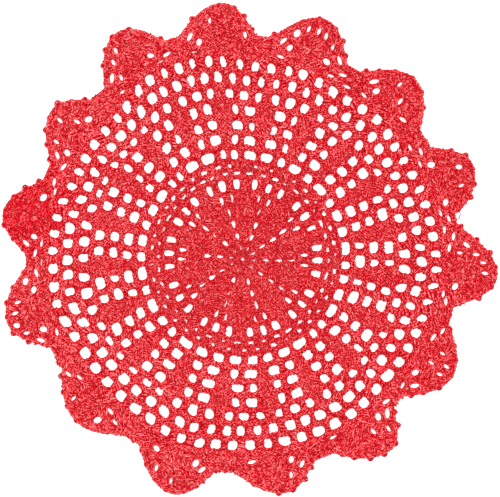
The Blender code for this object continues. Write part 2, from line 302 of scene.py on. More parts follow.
def place(distance, bearing):
    # like lay, with the outer rounds pushed in and out below the scallops
    turned = (bearing - swellFrom) % fullTurn + swellFrom
    swell = np.interp(turned, swellBearings, swellSizes)
    grown = ease((distance - swellStart) / (swellFull - swellStart))
    return lay(distance + swell * grown, bearing)


def edgeTable():
    # bearing and distance of the scalloped edge, without its picots
    bearings, distances = [], []
    steps = 60
    for number, row in enumerate(scallops):
        for step in range(steps + 1):
            bearing = row["before"] + (row["after"] - row["before"]) * step / steps
            if bearing <= row["tip"]:
                part = (bearing - row["before"]) / (row["tip"] - row["before"])
                low, bow = scallops[number - 1]["valley"], row["bowBefore"]
            else:
                part = (row["after"] - bearing) / (row["after"] - row["tip"])
                low, bow = row["valley"], row["bowAfter"]
            bearings.append(bearing)
            distances.append(low + (row["reach"] - low) * math.sin(math.pi / 2 * part) ** bow)
    return np.array(bearings), np.array(distances)


edgeBearings, edgeDistances = edgeTable()


def edgeDistance(bearing):
    turned = (bearing - edgeBearings[0]) % fullTurn + edgeBearings[0]
    return np.interp(turned, edgeBearings, edgeDistances)


def edgePlace(bearing, inset):
    # a point of the edge, moved inward
    angle = np.radians(bearing)
    away = edgeDistance(bearing) - inset
    east = matPlan["hub"][0] + matPlan["edgeCentre"][0]
    north = matPlan["hub"][1] + matPlan["edgeCentre"][1]
    return np.stack([east + away * np.cos(angle), north + away * np.sin(angle)], axis=-1)


def fanPlace(share, bearing):
    # a point of a scallop, from the mesh's outer bar at 0 to the edge's bar at 1
    share = np.asarray(share, float)[..., None]
    inner = place(np.full(np.shape(bearing), scallopPlan["start"]), bearing)
    return (1 - share) * inner + share * edgePlace(bearing, scallopPlan["inset"])


def scallopShare(row, bearing):
    # how far out a scallop's bar lies at a bearing: it draws towards the edge in the valleys
    atTip, inValley = scallopPlan["bars"][row]
    height = np.clip((edgeDistance(bearing) - scallopPlan["low"]) / scallopPlan["tall"], 0.0, 1.0)
    return atTip + (inValley - atTip) * (1 - height) ** 1.5


def runsAlong(points):
    # how far along a line each of its points lies
    return np.concatenate([[0.0], np.cumsum(lengths(np.diff(points, axis=0)))])


def addObject(name, data):
    made = bpy.data.objects.new(name, data)
    bpy.context.scene.collection.objects.link(made)
    return made


def addCotton(name, mesh, finish):
    mesh.materials.append(finish)
    piece = addObject(name, mesh)
    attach(piece, "root")
    return piece


# How many sides a strand has, and its width at the ends as a share.
strandPlan = {"sides": 4, "ends": 0.55}


class YarnPile:
    # gathers strands of yarn as arrays and turns them into one mesh
    def __init__(self, name, grain=0.1):
        self.name = name
        self.grain = grain
        self.sides = strandPlan["sides"]
        self.points, self.faces, self.caps = [], [], []
        self.maps, self.capMaps, self.shades = [], [], []
        self.count = 0

    def add(self, paths, across, upright, shades=None):
        # paths is strands x rings x 3; across and upright are the strands' half widths
        strands, rings, _ = paths.shape
        if shades is None:
            shades = draws.uniform(0, 1, strands)
        along = np.gradient(paths, axis=1)
        along /= np.linalg.norm(along, axis=2, keepdims=True) + 1e-9
        side = np.cross(along, (0.0, 0.0, 1.0))
        side /= np.linalg.norm(side, axis=2, keepdims=True) + 1e-9
        up = np.cross(side, along)
        turn = 2 * math.pi * np.arange(self.sides) / self.sides + math.pi / 2
        ends = np.ones(rings)
        ends[0] = ends[-1] = strandPlan["ends"]
        across = np.broadcast_to(across, (strands, rings)) * ends
        upright = np.broadcast_to(upright, (strands, rings)) * ends
        sideways = (across[:, :, None] * np.cos(turn))[..., None] * side[:, :, None, :]
        upward = (upright[:, :, None] * np.sin(turn))[..., None] * up[:, :, None, :]
        points = paths[:, :, None, :] + sideways + upward
        index = self.count + np.arange(strands * rings * self.sides).reshape(strands, rings, self.sides)
        after = np.roll(index, -1, axis=2)
        quads = np.stack([index[:, :-1], index[:, 1:], after[:, 1:], after[:, :-1]], axis=-1)
        steps = lengths(np.diff(paths, axis=1))
        runs = np.concatenate([np.zeros((strands, 1)), np.cumsum(steps, axis=1)], axis=1) * self.grain
        starts, stops = runs[:, :-1, None], runs[:, 1:, None]
        left = np.arange(self.sides) / self.sides
        right = left + 1 / self.sides
        low, high = np.broadcast_arrays(starts, stops)
        shape = quads.shape[:3]
        corners = [
            np.stack([np.broadcast_to(u, shape), np.broadcast_to(v, shape)], axis=-1)
            for u, v in ((left, low), (left, high), (right, high), (right, low))
        ]
        self.points.append(points.reshape(-1, 3))
        self.faces.append(quads.reshape(-1, 4))
        self.maps.append(np.stack(corners, axis=-2).reshape(-1, 4, 2))
        self.caps.append(np.concatenate([index[:, 0, :], index[:, -1, ::-1]]))
        self.capMaps.append(np.concatenate([runs[:, 0], runs[:, -1]]))
        self.shades.append(np.repeat(shades, rings * self.sides))
        self.count += strands * rings * self.sides

    def build(self, finish):
        points = np.concatenate(self.points) * mm
        quads = np.concatenate(self.faces)
        caps = np.concatenate(self.caps)
        maps = np.concatenate(self.maps).reshape(-1, 2)
        capHeights = np.repeat(np.concatenate(self.capMaps), self.sides)
        capMaps = np.stack([np.full(len(capHeights), 0.5), capHeights], axis=-1)
        mesh = bpy.data.meshes.new(self.name)
        mesh.vertices.add(len(points))
        mesh.vertices.foreach_set("co", points.astype(np.float32).ravel())
        loops = np.concatenate([quads.ravel(), caps.ravel()])
        mesh.loops.add(len(loops))
        mesh.loops.foreach_set("vertex_index", loops.astype(np.int32))
        capStarts = quads.size + np.arange(len(caps)) * self.sides
        starts = np.concatenate([np.arange(len(quads)) * 4, capStarts])
        mesh.polygons.add(len(starts))
        mesh.polygons.foreach_set("loop_start", starts.astype(np.int32))
        layer = mesh.uv_layers.new(name="yarn")
        layer.data.foreach_set("uv", np.concatenate([maps, capMaps]).astype(np.float32).ravel())
        shades = mesh.attributes.new("shade", "FLOAT", "POINT")
        shades.data.foreach_set("value", np.concatenate(self.shades).astype(np.float32))
        mesh.update(calc_edges=True)
        mesh.validate()
        mesh.shade_smooth()
        mesh.calc_loop_triangles()
        print(self.name, "triangles", len(mesh.loop_triangles))
        return addCotton(self.name, mesh, finish)


# A stitch's post: strands twisted round each other. Sizes in mm or as shares of its width.
postPlan = {
    "strands": 3,
    "rings": 10,
    "turnLength": 6.0,
    "turnChange": 0.35,
    "slip": 0.8,
    "full": 1.30,
    "strand": 0.17,
    "flare": 0.75,
    "middle": 1.1,
    "middleChange": 0.2,
    "lift": 0.42,
    "upright": 0.6,
    "sway": 0.6,
    "placeChange": 0.2,
    "usualWidth": 3.0,  # of a post with one row of loops
    "loopAside": 0.28,
    "loopChange": 0.35,
    "clear": 0.85,
}

# Short strands of the stitches' loops, which cross over the posts and the chains.
loopPlan = {
    "rings": 4,
    "length": 2.3,
    "lengthChange": 0.4,
    "strand": 0.36,
    "upright": 0.4,
    "middle": 1.3,
    "middleChange": 0.15,
    "rise": 0.62,
    "bend": 0.3,
    "turn": (20.0, 70.0),
    "apart": 3.6,
    "chainApart": 2.6,
    "clear": 1.5,
}


def workLoops(pile, spots, headings, eyes=(), coarse=1.0):
    # a small arch of yarn over each spot, turned from its heading to one side or the other
    for eye in eyes:
        free = lengths(within(eye, spots, loopPlan["clear"] * coarse)) > 1.0
        spots, headings = spots[free], headings[free]
    count = len(spots)
    turned = np.radians(draws.uniform(*loopPlan["turn"], count)) * draws.choice((-1.0, 1.0), count)
    ahead = np.stack([np.cos(headings + turned), np.sin(headings + turned)], axis=1)
    side = np.stack([-ahead[:, 1], ahead[:, 0]], axis=1)
    length = coarse * loopPlan["length"] * (1 + vary(loopPlan["lengthChange"], count))
    steps = np.linspace(-0.5, 0.5, loopPlan["rings"])
    arch = 1 - 4 * steps ** 2
    bend = vary(loopPlan["bend"] * length, count)
    flat = spots[:, None, :] + (length[:, None] * steps)[..., None] * ahead[:, None, :]
    flat = flat + (bend[:, None] * arch)[..., None] * side[:, None, :]
    middle = loopPlan["middle"] + vary(loopPlan["middleChange"], count)
    high = middle[:, None] + loopPlan["rise"] * arch
    paths = np.concatenate([flat, high[..., None]], axis=2)
    pile.add(paths, loopPlan["strand"], loopPlan["upright"])


def findEyes():
    # each opening's middle, long and short directions, half sizes and outward direction
    eyes = []
    for row, openings in zip(scallops, scallopEyes):
        for turn, distance, kind in openings:
            length, width, angle, change = eyeKinds[kind]
            bearing = row["tip"] + turn
            size = 1 + vary(eyeChange)
            away = np.array((math.cos(math.radians(bearing)), math.sin(math.radians(bearing))))
            heading = math.radians(bearing + 90 - angle - math.copysign(change, turn))
            long = np.array((math.cos(heading), math.sin(heading)))
            eyes.append({
                "middle": np.array(matPlan["hub"]) + distance * away,
                "long": long,
                "short": np.array((-long[1], long[0])),
                "halves": (0.5 * size * length, 0.5 * size * width),
                "away": away,
                "kind": kind,
            })
    return eyes


def within(eye, points, margin):
    # places in an opening's own axes, where its grown rim is at distance 1 from its middle
    rest = points - eye["middle"]
    long, short = (half + margin for half in eye["halves"])
    return np.stack([rest @ eye["long"] / long, rest @ eye["short"] / short], axis=-1)


def eyeRim(eye, grown, count):
    # points round an opening, grown by so many mm
    turns = 2 * math.pi * np.arange(count) / count
    long, short = (half + grown for half in eye["halves"])
    rim = np.outer(long * np.cos(turns), eye["long"]) + np.outer(short * np.sin(turns), eye["short"])
    return eye["middle"] + rim


def keepClear(paths, axis, aside, margin, eyes):
    # pushes strands out of the openings, each to the side where its own axis passes
    for eye in eyes:
        gaps = lengths(axis - eye["middle"])
        close = np.nonzero(gaps.min(axis=1) < eyeReach)[0]
        if len(close) == 0:
            continue
        out = aside[close] if aside is not None else np.repeat(eye["away"][None], len(close), axis=0)
        nearest = axis[close, gaps[close].argmin(axis=1)] - eye["middle"]
        hand = np.where(np.sum(nearest * out, axis=1) < 0, -1.0, 1.0)
        push = out * hand[:, None]
        here = within(eye, paths[close][:, :, :2], margin)
        step = within({**eye, "middle": np.zeros(2)}, push, margin)[:, None, :]
        inner = np.sum(here * here, axis=2) - 1.0
        slope = np.sum(here * step, axis=2)
        square = np.sum(step * step, axis=2)
        # a strand's end that flares past the opening is brought back as well
        depth = slope ** 2 - square * inner
        reach = (np.sqrt(np.maximum(0.0, depth)) - slope) / square
        beside = lengths(paths[close][:, :, :2] - eye["middle"]) < eyeReach
        moved = np.where((depth > 0) & (reach > 0) & beside, reach, 0.0)
        paths[close, :, :2] += moved[..., None] * push[:, None, :]
    return paths


def workPosts(pile, feet, heads, footWidths, headWidths, rings=None, eyes=(), coarse=1.0):
    # a rope of strands from each foot to its head
    feet, heads = np.asarray(feet, float), np.asarray(heads, float)
    footWidths, headWidths = np.asarray(footWidths, float), np.asarray(headWidths, float)
    count = len(feet)
    rings = rings or postPlan["rings"]
    steps = np.linspace(0.0, 1.0, rings)
    run = heads - feet
    length = lengths(run)
    side = np.stack([run[:, 1], -run[:, 0]], axis=1) / length[:, None]
    sway = vary(postPlan["sway"], count)[:, None] * np.sin(math.pi * steps)
    axis = feet[:, None, :] + run[:, None, :] * steps[None, :, None] + sway[..., None] * side[:, None, :]
    width = postPlan["full"] * (footWidths[:, None] + (headWidths - footWidths)[:, None] * steps)
    strand = postPlan["strand"] * width
    reach = 0.5 * width * (1 + postPlan["flare"] * np.abs(2 * steps - 1) ** 2.5) - strand
    turns = length / postPlan["turnLength"] * (1 + vary(postPlan["turnChange"], count))
    turns = turns * draws.choice((-1.0, 1.0), count)
    phase = draws.uniform(0, 2 * math.pi, count)
    slip = postPlan["slip"] * np.sin(2 * math.pi * (steps + draws.uniform(0, 1, count)[:, None]))
    middle = postPlan["middle"] + vary(postPlan["middleChange"], count)
    for number in range(postPlan["strands"]):
        turned = number / postPlan["strands"] + turns[:, None] * steps
        angle = phase[:, None] + 2 * math.pi * turned + slip * (number - 1)
        flat = axis + (reach * np.cos(angle))[..., None] * side[:, None, :]
        high = middle[:, None] + postPlan["lift"] * np.sin(angle)
        paths = np.concatenate([flat, high[..., None]], axis=2)
        paths = keepClear(paths, axis, side, postPlan["clear"], eyes)
        pile.add(paths, strand, postPlan["upright"])
    spots, headings = [], []
    for post in range(count):
        wide = footWidths[post] / postPlan["usualWidth"]
        loops = max(1, round(length[post] * wide / loopPlan["apart"] / coarse))
        for loop in range(loops):
            share = (loop + 0.5 + vary(postPlan["loopChange"])) / loops
            aside = vary(postPlan["loopAside"] * footWidths[post])
            spots.append(feet[post] + share * run[post] + aside * side[post])
            headings.append(math.atan2(run[post][1], run[post][0]))
    workLoops(pile, np.array(spots), np.array(headings), eyes, coarse)


# A bar: a chain of stitches, worked as a flat braid of three strands, so that it shows V's.
chainPlan = {
    "period": 7.6,
    "ringsPerPeriod": 7,
    "runLength": 5,
    "strand": 0.17,
    "swing": 0.34,
    "middle": 1.3,
    "lift": 0.45,
    "upright": 0.55,
    "slowSlip": (0.5, 3),
    "quickSlip": (0.4, 11),
    "loopAside": 0.3,
    "clear": 0.8,
}


def workChain(pile, line, width, closed, lower=0.0, eyes=()):
    # line is a row of points on the table
    line = np.asarray(line, float)
    if closed:
        line = np.concatenate([line, line[:1]])
    runs = runsAlong(line)
    periods = max(1, round(runs[-1] / chainPlan["period"]))
    rings = periods * chainPlan["ringsPerPeriod"] + 1
    spots = np.linspace(0.0, runs[-1], rings)
    points = np.stack([np.interp(spots, runs, line[:, 0]), np.interp(spots, runs, line[:, 1])], axis=1)
    along = np.gradient(points, axis=0)
    if closed:
        along[0] = along[-1] = points[1] - points[-2]
    along /= np.linalg.norm(along, axis=1, keepdims=True)
    side = np.stack([along[:, 1], -along[:, 0]], axis=1)
    angle = 2 * math.pi * np.arange(rings) / chainPlan["ringsPerPeriod"]
    size, waves = chainPlan["slowSlip"]
    slip = size * np.sin(angle * waves / periods + draws.uniform(0, 6))
    size, waves = chainPlan["quickSlip"]
    slip = slip + size * np.sin(angle * waves / periods)
    for third in range(3):
        turned = angle + 2 * math.pi * third / 3 + slip
        offset = width * chainPlan["swing"] * np.sin(turned)
        high = chainPlan["middle"] - lower + chainPlan["lift"] * np.sin(2 * turned)
        path = np.concatenate([points + offset[:, None] * side, high[:, None]], axis=1)
        path = keepClear(path[None], points[None], None, chainPlan["clear"], eyes)[0]
        # the chain is laid in runs that overlap by one ring, so that each has its own shade
        span = chainPlan["runLength"] * chainPlan["ringsPerPeriod"]
        for start in range(0, rings - 1, span):
            piece = path[None, start:min(rings, start + span + 1)]
            pile.add(piece, chainPlan["strand"] * width, chainPlan["upright"])
    loops = max(1, round(runs[-1] / loopPlan["chainApart"]))
    chosen = np.linspace(0, rings - 1, loops, endpoint=False) + draws.uniform(0, 1, loops)
    chosen = np.round(chosen).astype(int) % rings
    aside = vary(chainPlan["loopAside"] * width, loops)
    headings = np.arctan2(along[chosen, 1], along[chosen, 0])
    workLoops(pile, points[chosen] + aside[:, None] * side[chosen], headings, eyes)


# How far a round's bar wanders in and out, and its waves for each mm from the hub.
wanderPlan = {"size": 0.22, "waves": (0.28, 0.45, 0.71)}


def ringLine(distance, steps=720):
    bearings = bearingsRound(steps)
    wander = np.zeros(steps)
    for waves in wanderPlan["waves"]:
        turned = round(waves * distance) * bearings + draws.uniform(0, fullTurn)
        wander += wanderPlan["size"] * np.sin(np.radians(turned))
    return place(distance + wander, bearings)


def degreesOf(width, distance):
    return math.degrees(width / distance)


# How unevenly the gaps stand: turn and lean in degrees, size as a share. headRoom is the distance
# from a petal gap's head to the bar above it, in mm.
gapPlan = {
    "petalTurn": 0.5,
    "petalSize": 0.18,
    "headRoom": 1.2,
    "collarTurn": 0.8,
    "collarSize": 0.35,
    "collarLean": 0.9,
    "leafMiddle": 0.12,
    "leafPost": 0.04,
    "tipTurn": 0.35,
    "meshPost": 0.3,
    "meshTurn": 0.35,
}


# Each round is a row of gaps. A gap holds the bearings of its near and far side, each at the
# foot and at the head, with the distances of its foot and head.
def gapAround(row, middle, size, foot, head, lean=0.0):
    half, halfHead = (0.5 * size * degreesOf(wide, bar) for wide, bar in zip(row["wide"], row["bars"]))
    near = (middle - half - lean, middle - halfHead + lean)
    far = (middle + half - lean, middle + halfHead + lean)
    return near, far, foot, head


def petalGaps(row):
    gaps = []
    bar, nextBar = row["bars"]
    foot = bar + row["from"] * (nextBar - bar)
    head = nextBar - gapPlan["headRoom"]
    for number in range(matPlan["petals"]):
        for at in row["at"]:
            turned = at + row["shift"] + vary(gapPlan["petalTurn"])
            size = 1 + vary(gapPlan["petalSize"])
            gaps.append(gapAround(row, petalGapBearing(number) + turned, size, foot, head))
    return gaps


def collarGaps(row):
    gaps = []
    for leaf in range(matPlan["leaves"]):
        start = leafBearing(leaf)
        share = (leafBearing(leaf + 1) - start) / leafTurn
        for at in row["at"]:
            middle = start + at * share + vary(gapPlan["collarTurn"])
            size = 1 + vary(gapPlan["collarSize"])
            lean = vary(gapPlan["collarLean"])
            gaps.append(gapAround(row, middle, size, row["foot"], row["head"], lean))
    return gaps


def leafGaps(row, roundNumber):
    gaps = []
    halfPost = 0.5 * degreesOf(row["post"], row["foot"])
    for leaf in range(matPlan["leaves"]):
        start = leafBearing(leaf)
        gap = leafBearing(leaf + 1) - start
        share = gap / leafTurn
        middle = 0.5 + gapPlan["leafMiddle"] * unevenness(roundNumber, leaf, 6)
        nearLeaf, nearPost, farPost, farLeaf = [], [], [], []
        for level, trait in (("Foot", 7), ("Head", 8)):
            near = start + row["leaf" + level] * share
            far = start + gap - row["leaf" + level] * share
            across = middle + gapPlan["leafPost"] * unevenness(roundNumber, leaf, trait)
            post = near + across * (far - near)
            nearLeaf.append(near)
            nearPost.append(post - halfPost)
            farPost.append(post + halfPost)
            farLeaf.append(far)
        gaps.append((nearLeaf, nearPost, row["foot"], row["head"]))
        gaps.append((farPost, farLeaf, row["foot"], row["head"]))
    return gaps


def tipGaps():
    gaps = []
    for leaf in range(matPlan["leaves"]):
        start = leafBearing(leaf)
        share = (leafBearing(leaf + 1) - start) / leafTurn
        for near, far in tipRound["gaps"]:
            shift = vary(gapPlan["tipTurn"])
            near = [start + (angle + shift) * share for angle in near]
            far = [start + (angle + shift) * share for angle in far]
            gaps.append((near, far, tipRound["foot"], tipRound["head"]))
    return gaps


def meshPostSide(row, roundNumber, post, toward):
    own = post % (cellsPerScallop * len(scallops))
    half = 0.5 * degreesOf(row["post"], row["foot"])
    half *= 1 + gapPlan["meshPost"] * unevenness(roundNumber, own, 11)
    middle = meshBearing(post + row["shift"] - 0.5) + toward * half
    foot = middle + gapPlan["meshTurn"] * unevenness(roundNumber, own, 9)
    head = middle + gapPlan["meshTurn"] * unevenness(roundNumber, own, 10)
    return foot, head


def meshGaps(row, roundNumber):
    gaps = []
    for cell in range(cellsPerScallop * len(scallops)):
        near = meshPostSide(row, roundNumber, cell, 1)
        far = meshPostSide(row, roundNumber, cell + 1, -1)
        gaps.append((near, far, row["foot"], row["head"]))
    return gaps


# The strand that borders each gap: how much of a corner it cuts, in mm and at most as a share of
# the side, how much more at one knotted corner, how far out it lies and its half width. The
# scallops' openings and the mat's edge have strands of their own.
outlinePlan = {
    "corner": 1.2,
    "cornerChange": 0.4,
    "knot": 0.8,
    "cut": 0.4,
    "petalCut": 0.22,
    "petalFrom": 10.0,
    "out": 0.75,
    "half": 0.7,
    "upright": 0.5,
    "height": 1.1,
    "least": 1.2,
    "eyeOut": 0.35,
    "eyeHalf": 0.35,
    "edgeIn": 0.8,
    "edgeHalf": 0.6,
    "edgeHeight": 1.3,
    "edgeSteps": 600,
}


def closedPaths(lines, high):
    # closed lines as strands whose ends overlap
    flat = np.concatenate([lines, lines[:, :2]], axis=1)
    return np.concatenate([flat, np.full(flat.shape[:2] + (1,), high)], axis=2)


def workOutlines(pile, gaps, bars, cut=outlinePlan["cut"]):
    # a smooth strand round each gap, which cuts its corners
    lines = []
    for (nearFoot, nearHead), (farFoot, farHead), foot, head in gaps:
        corners = []
        for distance, order in ((foot, 1), (head, -1)):
            share = (distance - bars[0]) / (bars[1] - bars[0])
            near = nearFoot + share * (nearHead - nearFoot)
            far = farFoot + share * (farHead - farFoot)
            far = max(far, near + degreesOf(outlinePlan["least"], distance))
            corners += [place(distance, side) for side in (near, far)[::order]]
        middle = sum(corners) / 4
        knotted = draws.integers(4)
        line = []
        for number, corner in enumerate(corners):
            before, after = corners[number - 1] - corner, corners[(number + 1) % 4] - corner
            change = vary(outlinePlan["cornerChange"])
            inset = outlinePlan["corner"] * (1 + change + outlinePlan["knot"] * (number == knotted))
            line.append(corner + min(inset / lengths(before), cut) * before)
            line.append(corner + min(inset / lengths(after), cut) * after)
            line.append(corner + 0.5 * after)
        line = np.array(line)
        line = 0.5 * line + 0.25 * (np.roll(line, 1, axis=0) + np.roll(line, -1, axis=0))
        outward = line - middle
        line += outlinePlan["out"] * outward / np.linalg.norm(outward, axis=1, keepdims=True)
        lines.append(line)
    paths = closedPaths(np.array(lines), outlinePlan["height"])
    pile.add(paths, outlinePlan["half"], outlinePlan["upright"])


def outlineEyes(pile, eyes):
    # the same round the scallops' openings, and one strand along the edge
    lines = np.array([eyeRim(eye, outlinePlan["eyeOut"], 10) for eye in eyes])
    paths = closedPaths(lines, outlinePlan["height"])
    pile.add(paths, outlinePlan["eyeHalf"], outlinePlan["upright"])
    line = edgePlace(bearingsRound(outlinePlan["edgeSteps"]), outlinePlan["edgeIn"])
    paths = closedPaths(line[None], outlinePlan["edgeHeight"])
    pile.add(paths, outlinePlan["edgeHalf"], outlinePlan["edgeHalf"])


def workBetween(pile, gaps, bars, spacing):
    # posts side by side wherever a round has no gap
    footBar, headBar = bars
    feet, heads, footWidths, headWidths = [], [], [], []
    for number, gap in enumerate(gaps):
        following = gaps[(number + 1) % len(gaps)]
        turn = fullTurn if number + 1 == len(gaps) else 0.0
        startFoot, startHead = gap[1]
        stopFoot, stopHead = following[0][0] + turn, following[0][1] + turn
        footRun = math.radians(stopFoot - startFoot) * footBar
        headRun = math.radians(stopHead - startHead) * headBar
        count = max(1, round(0.5 * (footRun + headRun) / spacing))
        for stitch in range(count):
            share = (stitch + 0.5 + vary(postPlan["placeChange"]) * (count > 1)) / count
            feet.append(place(footBar, startFoot + share * (stopFoot - startFoot)))
            heads.append(place(headBar, startHead + share * (stopHead - startHead)))
            footWidths.append(max(1.0, footRun / count))
            headWidths.append(max(1.0, headRun / count))
    rings = max(7, round(postPlan["rings"] * (headBar - footBar) / 10.0))
    workPosts(pile, feet, heads, footWidths, headWidths, rings)


# Corners of an opening in the base cloth, as shares of its width and height.
openingCorners = (
    (0.14, 0.0), (0.86, 0.03), (1.0, 0.4), (0.9, 0.92), (0.45, 1.0), (0.06, 0.86), (0.0, 0.36),
)
clothPlan = {
    "thickness": 0.5,
    "bottom": 0.7,
    "grown": 0.45,
    "inset": 1.0,
    "hubHole": 1.1,
    "deep": (0.42, 0.001, 0.008, 1.0),
    "red": (0.90, 0.004, 0.022, 1.0),
    # coral of the painted highlights on the cloth, as on the yarn
    "paintedHighlight": (1.0, 0.36, 0.34, 1.0),
    "roughness": 0.75,
    "weaveScale": 900.0,
    "knotScale": 620.0,
}


def gapShape(gap, bars):
    # the opening below a gap, a little larger, so that only yarn shows round it
    (nearFoot, nearHead), (farFoot, farHead), foot, head = gap
    grown = clothPlan["grown"]
    margin = degreesOf(grown, 0.5 * (foot + head))
    shape = []
    for across, up in openingCorners:
        distance = foot - grown + up * (head - foot + 2 * grown)
        share = (distance - bars[0]) / (bars[1] - bars[0])
        near = nearFoot + share * (nearHead - nearFoot) - margin
        far = farFoot + share * (farHead - farFoot) + margin
        if far < near + margin:
            near, far = 0.5 * (near + far - margin), 0.5 * (near + far + margin)
        shape.append(place(distance, near + across * (far - near)))
    return shape


def baseCloth(shapes, finish):
    # a thin closed sheet: the first shape is its outline and the others are its openings
    corners, outlines = [], []
    for shape in shapes:
        order = list(range(len(corners), len(corners) + len(shape)))
        x, y = np.array(shape).T
        turnsLeft = np.sum(x * np.roll(y, -1) - y * np.roll(x, -1)) > 0
        outlines.append(order if turnsLeft else order[::-1])
        corners += [Vector(point) for point in shape]
    corners, _, faces, _, _, parents = delaunay_2d_cdt(corners, [], outlines, 1, 0.001)
    shaped = bmesh.new()
    dots = [shaped.verts.new((x * mm, y * mm, clothPlan["bottom"] * mm)) for x, y in corners]
    for face, owners in zip(faces, parents):
        if set(owners) == {0}:
            shaped.faces.new([dots[corner] for corner in face])
    bmesh.ops.delete(shaped, geom=[dot for dot in dots if not dot.link_faces], context="VERTS")
    area = sum(face.calc_area() for face in shaped.faces)
    grown = bmesh.ops.extrude_face_region(shaped, geom=list(shaped.faces), use_keep_orig=True)
    risen = [part for part in grown["geom"] if isinstance(part, bmesh.types.BMVert)]
    bmesh.ops.translate(shaped, verts=risen, vec=(0.0, 0.0, clothPlan["thickness"] * mm))
    bmesh.ops.recalc_face_normals(shaped, faces=shaped.faces)
    mesh = bpy.data.meshes.new("base_cloth")
    shaped.to_mesh(mesh)
    shaped.free()
    piece = addCotton("base_cloth", mesh, finish)
    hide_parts(matName)
    print("base cloth area", round(area, 5), "faces", len(mesh.polygons))
    return piece, area


def barPoint(bar, bearing):
    bearing = np.asarray(bearing, float)
    return fanPlace(scallopShare(bar, bearing) if bar >= 0 else np.zeros_like(bearing), bearing)


def workRow(pile, level, eyes):
    # posts side by side right round, wherever the row is tall enough
    distance = scallopPlan["pitchFrom"] + scallopPlan["pitchStep"] * level
    count = round(2 * math.pi * distance / scallopPlan["pitch"])
    pitch = fullTurn / count
    bearings = (np.arange(count) + vary(postPlan["placeChange"], count)) * pitch
    feet = barPoint(level - 1, bearings)
    heads = barPoint(level, bearings + vary(scallopPlan["lean"] * pitch, count))
    keep = lengths(heads - feet) > scallopPlan["shortest"]
    for eye in eyes:
        if eye["kind"] == "slot":
            for share in (0.3, 0.5, 0.7):
                spots = feet + share * (heads - feet)
                keep &= lengths(within(eye, spots, scallopPlan["slotClear"])) > 1.0
    feet, heads = feet[keep], heads[keep]
    widths = np.full(len(feet), scallopPlan["pitch"])
    workPosts(pile, feet, heads, widths, widths, scallopPlan["rings"], eyes, scallopPlan["coarse"])


def workRims(pile, eyes):
    # the rows' bars, each only where it runs clear of the edge's own bar
    steps = scallopPlan["steps"]
    bearings = bearingsRound(steps)
    edge = edgePlace(bearings, scallopPlan["inset"])
    for level, width in enumerate(scallopPlan["barWidths"]):
        line = barPoint(level, bearings)
        clear = lengths(edge - line) > scallopPlan["shortest"]
        if level == len(scallopPlan["bars"]) - 1 or clear.all():
            workChain(pile, line, width, True, eyes=eyes)
            continue
        first = int(np.nonzero(~clear)[0][0])
        order = (np.arange(steps) + first) % steps
        runs = np.split(order, np.nonzero(np.diff(clear[order].astype(int)))[0] + 1)
        for run in runs:
            if clear[run[0]] and len(run) > scallopPlan["leastRun"]:
                workChain(pile, line[run], width, False, eyes=eyes)


# Picots: a small loop of rope standing out from the edge's bar.
picotPlan = {
    "perScallop": 7,
    "half": 2.7,
    "rise": 2.7,
    "change": 0.5,
    "placeChange": 0.12,
    "strand": 0.7,
    "upright": 0.62,
    "apart": 0.25,
    "spread": 0.2,
    "crossing": 0.35,
    "rings": 11,
}


def workPicots(pile):
    paths = []
    for number, row in enumerate(scallops):
        bearings = np.linspace(row["before"], row["after"], 81)
        points = edgePlace(bearings, scallopPlan["inset"])
        runs = runsAlong(points)
        pitch = runs[-1] / picotPlan["perScallop"]
        for picot in range(picotPlan["perScallop"]):
            middle = (picot + 0.5 + picotPlan["placeChange"] * unevenness(number, picot, 1)) * pitch
            rise = picotPlan["rise"] * (1 + picotPlan["change"] * unevenness(number, picot, 2))
            for hand in (-1, 1):
                steps = np.linspace(-1.0, 1.0, picotPlan["rings"])
                spots = middle + hand * picotPlan["apart"] + picotPlan["half"] * steps
                spots = np.clip(spots, 0.0, runs[-1])
                here, ahead, behind = (
                    [np.interp(np.clip(spots + shift, 0.0, runs[-1]), runs, line) for line in points.T]
                    for shift in (0.0, 0.3, -0.3)
                )
                alongX, alongY = ahead[0] - behind[0], ahead[1] - behind[1]
                size = np.hypot(alongX, alongY) + 1e-9
                out = rise * np.cos(0.5 * math.pi * steps) * (1 + picotPlan["spread"] * (hand - 1))
                x = here[0] + out * alongY / size
                y = here[1] - out * alongX / size
                high = postPlan["middle"] + picotPlan["crossing"] * hand * np.sin(math.pi * steps)
                paths.append(np.stack([x, y, high], axis=1))
    pile.add(np.array(paths), picotPlan["strand"], picotPlan["upright"])


class Amount:
    # a socket in a material's node tree that can be added and multiplied
    def __init__(self, finish, socket):
        self.finish = finish
        self.socket = socket

    def __add__(self, other):
        return self.finish.maths("ADD", self, other)

    def __radd__(self, other):
        return self.finish.maths("ADD", other, self)

    def __sub__(self, other):
        return self.finish.maths("SUBTRACT", self, other)

    def __rsub__(self, other):
        return self.finish.maths("SUBTRACT", other, self)

    def __mul__(self, other):
        return self.finish.maths("MULTIPLY", self, other)

    def __rmul__(self, other):
        return self.finish.maths("MULTIPLY", other, self)

    def __pow__(self, other):
        return self.finish.maths("POWER", self, other)


